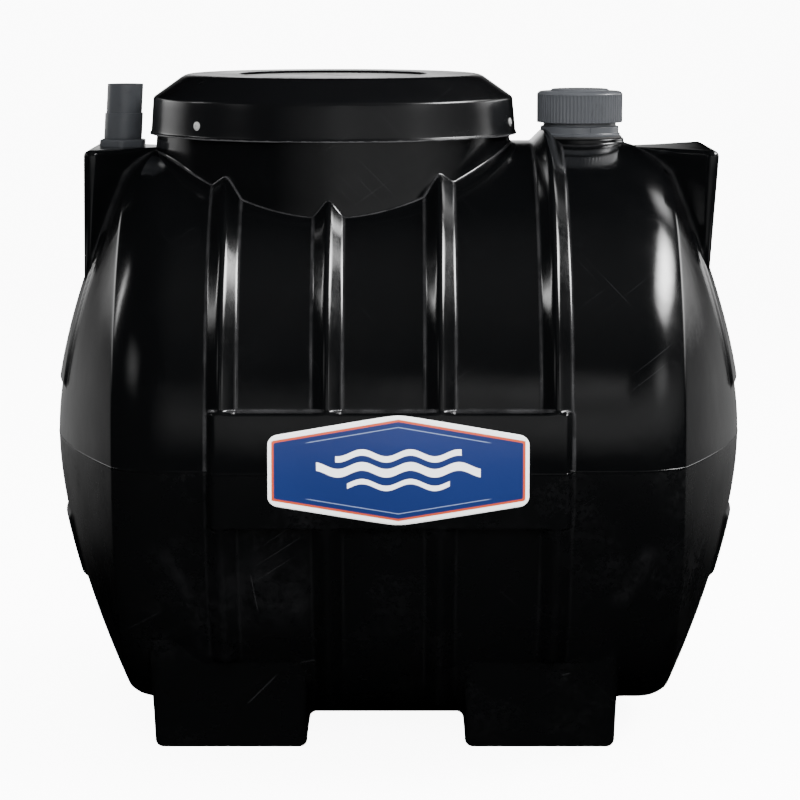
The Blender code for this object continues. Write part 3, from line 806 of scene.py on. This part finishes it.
def lid_skin():
    """The lid, turned, with an uneven trimmed edge: a few slow sine waves under the rim."""
    corners = [
        (0.006, LID_TOP - LID_DISC_DEPTH, 0.0),
        (LID_DISC_RADIUS - LID_DISC_DEPTH, LID_TOP - LID_DISC_DEPTH, 0.0030),
        (LID_DISC_RADIUS, LID_TOP, 0.0020),
        (LID_FLAT_RADIUS, LID_TOP, 0.0080),
        (LID_SHOULDER_RADIUS, LID_SHOULDER, 0.0032),
        (LID_SKIRT_RADIUS, LID_BOTTOM + 2.0 * LID_RIM_HEIGHT, 0.0020),
        (LID_RIM_RADIUS, LID_BOTTOM + LID_RIM_HEIGHT, 0.0008),
        (LID_RIM_RADIUS, LID_BOTTOM, 0.0005),
        (LID_SKIRT_RADIUS - LID_WALL, LID_BOTTOM, 0.0010),
        (LID_SKIRT_RADIUS - LID_WALL, LID_BOTTOM + 0.020, 0.0),
    ]
    outline = rounded_profile(corners)
    slope = spread(0.0, 1.0, 0.2)[1:-1, None]
    fuller = [outline[:1]]
    for first, last in zip(outline[:-1], outline[1:]):
        if np.linalg.norm(last - first) > 0.012:
            fuller.append(first + slope * (last - first))
        fuller.append(last[None])
    profile = np.concatenate(fuller)

    def trimmed(angle, radius, height):
        """Lift the rim by slow waves and pull the skirt slightly out of round."""
        low = ease((LID_BOTTOM + 0.006 - height) / 0.006)
        wave = (np.sin(7 * angle + 0.6) + 0.6 * np.sin(17 * angle) + 0.4 * np.sin(41 * angle)) / 2
        skirt = ease((LID_SHOULDER - height) / 0.04)
        return radius + 0.0005 * skirt * np.sin(3 * angle + 1.0), height + 0.0005 * low * (1 + wave)

    piece = turned("manhole_lid_skin", profile, MANHOLE_X, 320, LID_POLYETHYLENE,
                   trimmed, poles=(True, False))
    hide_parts("manhole_lid")


lid_skin()


# The lid's screws. Three pan-headed stainless screws with washers go through the skirt into the
# neck, a third of a turn apart, and keep the lid from lifting.

SCREW_ANGLES = (-134.9, -14.9, 105.1)
SCREW_HEIGHT = 0.4600
SCREW_HEAD = 0.0052
WASHER = 0.0064


def stainless():
    """Dull stainless steel, matt with fine turning marks."""
    material, tree, shader, place = new_material("stainless")
    stain = noise(tree, place, 240.0, 3.0, 0.6)
    grey = blend_colour(tree, stain, (0.26, 0.26, 0.26), (0.46, 0.46, 0.45))
    rough = reach(tree, stain, 0.3, 0.7, 0.35, 0.50)
    shader.inputs["Metallic"].default_value = 0.5
    surfaced(tree, shader, grey, rough, noise(tree, place, 900.0, 2.0), 0.0001)
    return material


STAINLESS = stainless()


def lid_screws():
    """Turn a washer and domed head about each screw's axis; a cross recess is pressed in."""
    turn = np.linspace(0.0, 2 * math.pi, 49)[None, :-1]
    corners = [(0.0004, 0.0022, 0.0), (SCREW_HEAD * 0.6, 0.0020, 0.0012),
               (SCREW_HEAD, 0.0008, 0.0006), (SCREW_HEAD, 0.0006, 0.0002),
               (WASHER, 0.0006, 0.0003), (WASHER, -0.0016, 0.0)]
    outline = rounded_profile(corners)
    inner = spread(outline[0, 0], outline[1, 0], 0.0003)[1:-1]
    fill = np.stack([inner, np.full_like(inner, outline[0, 1])], axis=1)
    outline = np.concatenate([outline[:1], fill, outline[1:]])
    radius, rise = outline[:, :1], outline[:, 1:]
    across, up = radius * np.cos(turn), radius * np.sin(turn)
    cross = np.minimum(np.abs(across), np.abs(up))
    recess = (1 - ease((cross - 0.0004) / 0.0004)) * (1 - ease((radius - 0.0020) / 0.0006))
    out = rise + 0 * turn - 0.0013 * recess
    for number, degrees in enumerate(SCREW_ANGLES, start=1):
        angle = math.radians(degrees)
        seat = LID_SKIRT_RADIUS - 0.0008
        outward = np.array([math.cos(angle), math.sin(angle), 0.0])
        sideways = np.array([-math.sin(angle), math.cos(angle), 0.0])
        centre = np.array([MANHOLE_X, 0.0, AXIS_HEIGHT + SCREW_HEIGHT]) + seat * outward
        points = (centre + out[..., None] * outward + across[..., None] * sideways
                  + up[..., None] * np.array([0.0, 0.0, 1.0]))
        skin(f"lid_screw_{number}", points, STAINLESS, wrap=True,
             poles=(points[0].mean(axis=0), None), inside=centre - 0.02 * outward)


lid_screws()


# The clean-out. A grey uPVC access fitting with a screwed cap: a threaded collar stands on a
# rubber gasket over a low moulded boss, and the cap has an upright grip of fine ribs.

CLEANOUT_X = 0.2695
BOSS_RADIUS = 0.0665
BOSS_TOP = 0.4340
GASKET_RADIUS = 0.0625
GASKET_TOP = 0.4370
COLLAR_RADIUS = 0.0580
COLLAR_TOP = 0.4560
CAP_RADIUS = 0.0636
CAP_TOP = 0.5030
CAP_DISC_RADIUS = 0.0445
CAP_DISC_TOP = 0.5064
CAP_RIBS = 72


def grey_upvc(name, dark, light):
    """Satin grey uPVC with faint flow marks and a little grime."""
    material, tree, shader, place = new_material(name)
    flow = noise(tree, place, 22.0, 4.0, 0.6, (1.0, 1.0, 0.25))
    grey = blend_colour(tree, flow, dark, light)
    grime = reach(tree, noise(tree, place, 60.0, 5.0, 0.65), 0.56, 0.74)
    soiled = tuple(0.5 * part for part in dark)
    grimy = blend_colour(tree, product(tree, grime, 0.55), grey, soiled)
    rough = reach(tree, flow, 0.3, 0.7, 0.26, 0.40)
    surfaced(tree, shader, grimy, rough, noise(tree, place, 420.0, 2.0), 0.00012)
    return material


def gasket_rubber():
    """Matt black rubber."""
    material, tree, shader, place = new_material("gasket_rubber")
    tone = noise(tree, place, 150.0, 4.0, 0.6)
    black = blend_colour(tree, tone, (0.006, 0.006, 0.006), (0.016, 0.016, 0.016))
    surfaced(tree, shader, black, reach(tree, tone, 0.3, 0.7, 0.62, 0.82), tone, 0.0002)
    return material


GREY_UPVC = grey_upvc("grey_upvc", (0.031, 0.033, 0.037), (0.046, 0.049, 0.054))
GASKET_RUBBER = gasket_rubber()


def boss_skin():
    """The boss as a block skin about the clean-out's upright line."""
    angle = np.linspace(0.0, 2 * math.pi, 121)[:-1]
    near_loop = upright_loop(CLEANOUT_X, BOSS_RADIUS - 0.001, BOSS_TOP, angle)
    far_loop = upright_loop(CLEANOUT_X, BOSS_RADIUS + 0.002, BOSS_TOP - 0.06, angle)
    walls = drafted_normals(np.stack([np.cos(angle), np.sin(angle)], axis=1), near_loop, far_loop)
    piece = block_skin("cleanout_boss_skin", near_loop, far_loop, np.array([0.0, 0.0, 1.0]),
                       walls, 0.002, 0.012, BLACK_POLYETHYLENE)
    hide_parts("cleanout_boss")


def cleanout_fitting():
    """Gasket, collar and cap, each turned; the cap's ribs are a rounded square wave."""
    gasket = rounded_profile([
        (BOSS_RADIUS * 0.7, GASKET_TOP, 0.0), (GASKET_RADIUS, GASKET_TOP, 0.0012),
        (GASKET_RADIUS + 0.0004, BOSS_TOP, 0.0008), (BOSS_RADIUS * 0.7, BOSS_TOP - 0.001, 0.0)])
    piece = turned("cleanout_gasket_ring", gasket, CLEANOUT_X, 96, GASKET_RUBBER)
    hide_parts("cleanout_gasket")
    collar = rounded_profile([
        (COLLAR_RADIUS * 0.8, COLLAR_TOP + 0.002, 0.0),
        (COLLAR_RADIUS - 0.004, COLLAR_TOP + 0.002, 0.0006),
        (COLLAR_RADIUS - 0.004, COLLAR_TOP - 0.004, 0.0006),
        (COLLAR_RADIUS, COLLAR_TOP - 0.005, 0.0010),
        (COLLAR_RADIUS, GASKET_TOP + 0.0045, 0.0010),
        (COLLAR_RADIUS + 0.0022, GASKET_TOP + 0.0035, 0.0008),
        (COLLAR_RADIUS + 0.0022, GASKET_TOP, 0.0006),
        (COLLAR_RADIUS * 0.8, GASKET_TOP, 0.0)])
    piece = turned("cleanout_collar_ring", collar, CLEANOUT_X, 128, GREY_UPVC)
    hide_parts("cleanout_collar")
    body = rounded_profile([
        (0.002, CAP_DISC_TOP, 0.0), (CAP_DISC_RADIUS - 0.003, CAP_DISC_TOP, 0.0020),
        (CAP_DISC_RADIUS, CAP_TOP, 0.0014), (CAP_RADIUS - 0.004, CAP_TOP, 0.0020),
        (CAP_RADIUS, CAP_TOP - 0.0035, 0.0018), (CAP_RADIUS, COLLAR_TOP + 0.0010, 0.0010),
        (CAP_RADIUS - 0.006, COLLAR_TOP + 0.0004, 0.0)])

    def gripped(angle, radius, height):
        """Sink the skin between the ribs over the cap's outer wall."""
        outer = ease((radius - CAP_RADIUS + 0.0025) / 0.0020)
        on_wall = outer * ease((CAP_TOP - 0.004 - height) / 0.003)
        wave = ease(0.5 + 1.1 * np.cos(CAP_RIBS * angle))
        return radius - 0.0008 * on_wall * (1 - wave), height

    wall = spread(CAP_TOP - 0.006, COLLAR_TOP + 0.003, 0.006)
    cut = np.argmin(np.abs(body[:, 1] - wall[0]) + (body[:, 0] < CAP_RADIUS - 0.001))
    lines = np.stack([np.full_like(wall, CAP_RADIUS), wall], axis=1)
    body = np.concatenate([body[:cut + 1], lines, body[cut + 1:]])
    piece = turned("cleanout_cap_skin", body, CLEANOUT_X, CAP_RIBS * 8, GREY_UPVC,
                   gripped, poles=(True, False))
    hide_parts("cleanout_cap")


boss_skin()
cleanout_fitting()


# The vent. A stub of grey uPVC pipe in a socket, held on top of the left box by a hexagon nut;
# it stands a little out of true and is open at the top.

VENT_X = -0.4100
VENT_LEAN = 0.060
NUT_HALF = 0.0330
NUT_TOP = 0.0105
SOCKET_RADIUS = 0.0282
SOCKET_TOP = 0.4705
PIPE_RADIUS = 0.0265
PIPE_BORE = 0.0232
VENT_TOP = 0.5135


# A darker copy of the same grey uPVC for the vent: painted shade.
SHADED_VENT_UPVC = grey_upvc("vent_upvc_shaded", (0.015, 0.016, 0.018), (0.026, 0.028, 0.031))


def vent_stub():
    """Nut, socket and pipe turned about a leaning line; the nut's radius is a hexagon's."""
    base = BOX_TOP

    def hexagon(angle, radius, height):
        """Distance to a hexagon's flats in each direction, with its edges eased."""
        sector = (angle + math.pi / 6) % (math.pi / 3) - math.pi / 6
        flat = NUT_HALF / np.cos(sector)
        corner = NUT_HALF * 1.10
        share = ease((radius - PIPE_RADIUS) / (NUT_HALF - PIPE_RADIUS))
        return radius + share * (np.minimum(flat, corner) - NUT_HALF), height

    nut = rounded_profile([
        (PIPE_RADIUS - 0.001, base + NUT_TOP, 0.0), (NUT_HALF - 0.002, base + NUT_TOP, 0.0012),
        (NUT_HALF, base + NUT_TOP - 0.0015, 0.0008), (NUT_HALF, base, 0.0004),
        (PIPE_RADIUS - 0.001, base - 0.0005, 0.0)])
    socket = rounded_profile([
        (PIPE_RADIUS - 0.001, SOCKET_TOP, 0.0), (SOCKET_RADIUS, SOCKET_TOP, 0.0009),
        (SOCKET_RADIUS, base + NUT_TOP + 0.002, 0.0008),
        (SOCKET_RADIUS - 0.001, base + NUT_TOP - 0.001, 0.0)])
    pipe = rounded_profile([
        (PIPE_BORE, base + 0.004, 0.0), (PIPE_BORE, VENT_TOP - 0.0004, 0.0005),
        (PIPE_RADIUS, VENT_TOP, 0.0005), (PIPE_RADIUS, SOCKET_TOP - 0.006, 0.0)])
    for name, outline, shape in (("vent_nut", nut, hexagon), ("vent_socket", socket, None),
                                 ("vent_pipe", pipe, None)):
        piece = turned(name + "_skin", outline, VENT_X, 96, SHADED_VENT_UPVC, shape)
        place = np.zeros(len(piece.data.vertices) * 3)
        piece.data.vertices.foreach_get("co", place)
        place = place.reshape(-1, 3)
        place[:, 0] += VENT_LEAN * (place[:, 2] - AXIS_HEIGHT - BOX_TOP - 0.02)
        piece.data.vertices.foreach_set("co", place.ravel())
        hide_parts(name)


vent_stub()


# The parting line. Where the mould's halves meet, a thin bead of flash runs right round the tank
# at the height of the axis; it is trimmed, so it stands only a little proud.

FLASH_HALF = 0.0013
FLASH_HEIGHT = 0.0006


def parting_flash():
    """Carry a low round bead along the outline of the body in the plane of the axis."""
    x, radius = SECTION[:, 0], SECTION[:, 1]
    front = np.stack([x, -(radius + raised(x, 0.0 * x) * (np.abs(x) < SHOULDER_START))], axis=1)
    path = np.concatenate([front, (front * [1.0, -1.0])[::-1]])
    along = np.roll(path, -1, axis=0) - np.roll(path, 1, axis=0)
    along /= np.linalg.norm(along, axis=1, keepdims=True)
    outward = np.stack([along[:, 1], -along[:, 0]], axis=1)
    turn = np.linspace(-0.5 * math.pi, 0.5 * math.pi, 7)[None, :]
    out = FLASH_HEIGHT * (np.cos(turn) * 1.6 - 0.6)
    flat = path[:, None, :] + out[..., None] * outward[:, None, :]
    height = AXIS_HEIGHT + FLASH_HALF * np.sin(turn) + 0 * flat[..., 0]
    points = np.concatenate([flat, height[..., None]], axis=-1).transpose(1, 0, 2)
    skin("parting_flash", points, BLACK_POLYETHYLENE, wrap=True,
         inside=np.array([0.0, 0.0, AXIS_HEIGHT]))


parting_flash()


# The label. A printed self-adhesive film in the form of a stretched hexagon, stuck on the front
# pad: white edge, orange line, deep blue field with pale pinstripes and plain white waves.

LABEL_MIDDLE = 0.0045
LABEL_HALF_WIDTH = 0.1785
LABEL_SIDE = 0.0455
LABEL_HALF_HEIGHT = 0.0753
LABEL_CORNER = 0.012
LABEL_LIFT = 0.0010
LABEL_ORANGE = (0.0052, 0.0084)
LABEL_PINSTRIPE = (0.0150, 0.0160)
LABEL_PINSTRIPE_HALF = 0.124
WAVES = ((0.021, 0.086, 0.0042), (0.002, 0.112, 0.0058), (-0.019, 0.070, 0.0036))
WAVE_TURNS = 95.0
WAVE_SWING = 0.0048


def label_film():
    """Printed film: bands by distance from the edge, and waves by sine lines across the middle."""
    material, tree, shader, place = new_material("label_film")
    inset = node(tree, "Attribute", attribute_name="edge_distance").outputs["Fac"]
    parts = node(tree, "SeparateXYZ", {"Vector": place}).outputs
    across = parts["X"]
    up = calc(tree, "SUBTRACT", parts["Z"], AXIS_HEIGHT + LABEL_MIDDLE)

    def band(value, low, high, soft=0.0004):
        """One between low and high."""
        return product(tree, reach(tree, value, low - soft, low + soft),
                       reach(tree, value, high + soft, high - soft))

    tone = noise(tree, place, 6.0, 2.0)
    blue = blend_colour(tree, tone, (0.0030, 0.0105, 0.068), (0.0048, 0.016, 0.094))
    orange = band(inset, *LABEL_ORANGE)
    white = reach(tree, inset, LABEL_ORANGE[0] + 0.0004, LABEL_ORANGE[0] - 0.0004)
    from_middle = calc(tree, "ABSOLUTE", across)
    inner = reach(tree, from_middle, LABEL_PINSTRIPE_HALF + 0.004, LABEL_PINSTRIPE_HALF - 0.004)
    outer = reach(tree, calc(tree, "ABSOLUTE", up), 0.034, 0.036)
    stripe = product(tree, band(inset, *LABEL_PINSTRIPE), inner, outer)
    swing = product(tree, calc(tree, "SINE", product(tree, across, WAVE_TURNS)), WAVE_SWING)
    bent = calc(tree, "SUBTRACT", up, swing)
    waves = 0.0
    for offset, half, thick in WAVES:
        off = calc(tree, "ABSOLUTE", calc(tree, "SUBTRACT", bent, offset))
        line = product(tree, reach(tree, off, thick + 0.0003, thick - 0.0003),
                       reach(tree, from_middle, half + 0.0003, half - 0.0003))
        waves = calc(tree, "MAXIMUM", waves, line)
    field = blend_colour(tree, product(tree, stripe, 0.75), blue, (0.20, 0.26, 0.42))
    printed = blend_colour(tree, waves, field, (0.86, 0.87, 0.88))
    keyed = blend_colour(tree, orange, printed, (0.40, 0.040, 0.006))
    edged = blend_colour(tree, white, keyed, (0.88, 0.88, 0.88))
    surfaced(tree, shader, edged, 0.32, noise(tree, place, 30.0, 3.0), 0.0006)
    return material


LABEL_FILM = label_film()


def label_sheet():
    """The film: x across, the hexagon's height up, laid round the pad, its rim turned down."""
    columns = np.concatenate([
        -LABEL_HALF_WIDTH + LABEL_CORNER * (1 - np.cos(np.linspace(0.0, 0.5 * math.pi, 9))),
        spread(-LABEL_HALF_WIDTH + LABEL_CORNER, 0.0, 0.004)[1:]])
    columns = np.concatenate([columns, -columns[::-1][1:]])
    from_side = LABEL_HALF_WIDTH - np.abs(columns)
    rise = (LABEL_HALF_HEIGHT - LABEL_SIDE) / LABEL_HALF_WIDTH
    apex = 0.012
    half = LABEL_SIDE + rise * (LABEL_HALF_WIDTH - np.sqrt(columns ** 2 + apex ** 2) + apex)
    cut = LABEL_CORNER - from_side
    arc = np.sqrt(np.maximum(LABEL_CORNER ** 2 - cut ** 2, 0.0))
    half = half - np.where(cut > 0, LABEL_CORNER - arc, 0.0)
    share = np.concatenate([[-1.0], np.linspace(-1.0, 1.0, 49), [1.0]])[:, None]
    x = columns[None, :] + 0 * share
    up = share * half[None, :]
    lift = np.full_like(x, LABEL_LIFT)
    lift[0], lift[-1], lift[:, 0], lift[:, -1] = 0.0, 0.0, 0.0, 0.0
    surface = BARREL_RADIUS + RAISE
    angle = np.arcsin((LABEL_MIDDLE + up) / surface)
    far = surface + lift
    points = np.stack([x, -far * np.cos(angle), AXIS_HEIGHT + far * np.sin(angle)], axis=-1)
    piece = skin("label_sheet", points, LABEL_FILM,
                 inside=np.array([0.0, 0.0, AXIS_HEIGHT]))
    lean = math.hypot(1.0, rise)
    to_slope = (LABEL_SIDE + rise * from_side[None, :] + 0 * share - np.abs(up)) / lean
    to_side = from_side[None, :] + 0 * share
    distance = np.minimum(to_slope, to_side)
    values = piece.data.attributes.new("edge_distance", "FLOAT", "POINT")
    values.data.foreach_set("value", distance.ravel().astype(np.float32))
    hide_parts("label")


label_sheet()


# The studio. A pale floor curves up behind the tank, flat lights with faded edges stand round it
# where the photograph's highlights need them, and a long lens looks slightly down on the front.

FLOOR_REACH = 14.0
WALL_START = 6.0
WALL_BEND = 3.0
CAMERA_X = 0.0022
CAMERA_DISTANCE = 4.5
CAMERA_HEIGHT = 1.1157
CAMERA_PITCH = 0.1413
CAMERA_LENS = 135.6


def pale_floor():
    """Pale painted floor with a very slight mottle."""
    material, tree, shader, place = new_material("pale_floor")
    tone = noise(tree, place, 0.8, 3.0)
    pale = blend_colour(tree, tone, (0.80, 0.80, 0.80), (0.84, 0.84, 0.84))
    tree.links.new(pale, shader.inputs["Base Color"])
    tree.links.new(reach(tree, tone, 0.3, 0.7, 0.85, 0.95), shader.inputs["Roughness"])
    shader.inputs["Specular IOR Level"].default_value = 0.1
    shader.inputs["Emission Color"].default_value = (1.0, 1.0, 1.0, 1.0)
    shader.inputs["Emission Strength"].default_value = 9.0
    return material


def studio_floor():
    """A level sheet that turns up into a wall behind, as a profile carried along X."""
    turn = np.linspace(0.0, 0.5 * math.pi, 16)
    level = spread(-FLOOR_REACH, WALL_START, 1.0)
    wall = WALL_START + WALL_BEND
    y = np.concatenate([level, WALL_START + WALL_BEND * np.sin(turn), [wall]])
    z = np.concatenate([0.0 * level, WALL_BEND - WALL_BEND * np.cos(turn), [4 * WALL_BEND]])
    x = spread(-FLOOR_REACH, FLOOR_REACH, 1.0)
    points = np.stack([x[None, :] + 0 * y[:, None], y[:, None] + 0 * x[None, :],
                       z[:, None] + 0 * x[None, :]], axis=-1)
    mesh = bpy.data.meshes.new("studio_floor")
    mesh.from_pydata(points.reshape(-1, 3).tolist(), [],
                     grid_faces(len(y), len(x), False).tolist())
    mesh.shade_smooth()
    mesh.materials.append(pale_floor())
    floor = bpy.data.objects.new("studio_floor", mesh)
    bpy.context.scene.collection.objects.link(floor)
    floor.visible_glossy = False
    floor.visible_diffuse = False


def soft_light(name, bearing, rise, distance, width, height, radiance, glossy=True):
    """A flat light that faces the tank's middle and fades smoothly to its edges.

    Its bearing is counted in degrees from the front towards +X, its rise from the level.
    """
    lamp = bpy.data.lights.new(name, "AREA")
    lamp.shape = "RECTANGLE"
    lamp.size, lamp.size_y = width, height
    lamp.energy = radiance * math.pi * width * height
    lamp.use_nodes = True
    tree = lamp.node_tree
    across = node(tree, "SeparateXYZ", {"Vector": node(tree, "NewGeometry").outputs["Parametric"]})
    fades = []
    for axis in ("X", "Y"):
        from_middle = calc(tree, "ABSOLUTE", calc(tree, "SUBTRACT", across.outputs[axis], 0.5))
        fades.append(reach(tree, from_middle, 0.5, 0.1))
    tree.links.new(product(tree, *fades), tree.nodes["Emission"].inputs["Strength"])
    light = bpy.data.objects.new(name, lamp)
    bpy.context.scene.collection.objects.link(light)
    turn, lift = math.radians(bearing), math.radians(rise)
    light.location = (distance * math.cos(lift) * math.sin(turn),
                      -distance * math.cos(lift) * math.cos(turn),
                      0.5 + distance * math.sin(lift))
    light.rotation_euler = (0.5 * math.pi - lift, 0.0, turn)
    light.visible_glossy = glossy
    light.visible_camera = False


studio_floor()
soft_light("room_fill", 0.0, 90.0, 4.5, 10.0, 10.0, 2.6, glossy=False)
soft_light("front_fill", 0.0, 24.0, 5.0, 4.0, 3.0, 26.0, glossy=False)
soft_light("ceiling", 30.0, 60.0, 5.0, 10.0, 7.0, 0.13)
soft_light("front_card", 44.0, 9.5, 5.0, 13.0, 2.5, 0.62)
soft_light("front_left_card", -4.0, 10.0, 5.0, 6.0, 2.5, 0.30)
soft_light("panel_glow", 6.5, 21.0, 5.0, 1.5, 1.2, 0.75)
soft_light("right_window", 90.0, 39.0, 4.5, 3.2, 1.4, 64.0)
soft_light("right_rear_window", 128.0, 38.0, 4.0, 1.0, 1.4, 4.0)
soft_light("right_low_window", 56.0, 18.0, 4.5, 1.8, 1.2, 1.6)
soft_light("left_window", -97.0, 27.0, 4.5, 0.4, 1.8, 14.0)
soft_light("left_low_window", -62.0, 20.0, 4.5, 1.6, 1.2, 1.1)
for end, side, radiance in (("right", 1.0, 4.7), ("left", -1.0, 3.1)):
    soft_light(end + "_rear_card", side * 125.0, 12.5, 5.0, 4.4, 2.0, radiance)
    soft_light(end + "_low_card", side * 142.0, -6.0, 2.2, 3.2, 1.1, 0.32)
soft_light("rear_card", 182.3, 9.0, 5.0, 2.3, 2.0, 2.0)

world = bpy.data.worlds.new("studio_air")
world.use_nodes = True
world.node_tree.nodes["Background"].inputs["Color"].default_value = (1.0, 1.0, 1.0, 1.0)
world.node_tree.nodes["Background"].inputs["Strength"].default_value = 1.6
world.cycles_visibility.glossy = False
bpy.context.scene.world = world

view = bpy.data.cameras.new("photograph_view")
view.lens = CAMERA_LENS
view.sensor_width = 36.0
view.clip_end = 60.0
camera = bpy.data.objects.new("photograph_view", view)
camera.location = (CAMERA_X, -CAMERA_DISTANCE, CAMERA_HEIGHT)
camera.rotation_euler = (0.5 * math.pi - CAMERA_PITCH, 0.0, 0.0)
bpy.context.scene.collection.objects.link(camera)
bpy.context.scene.camera = camera
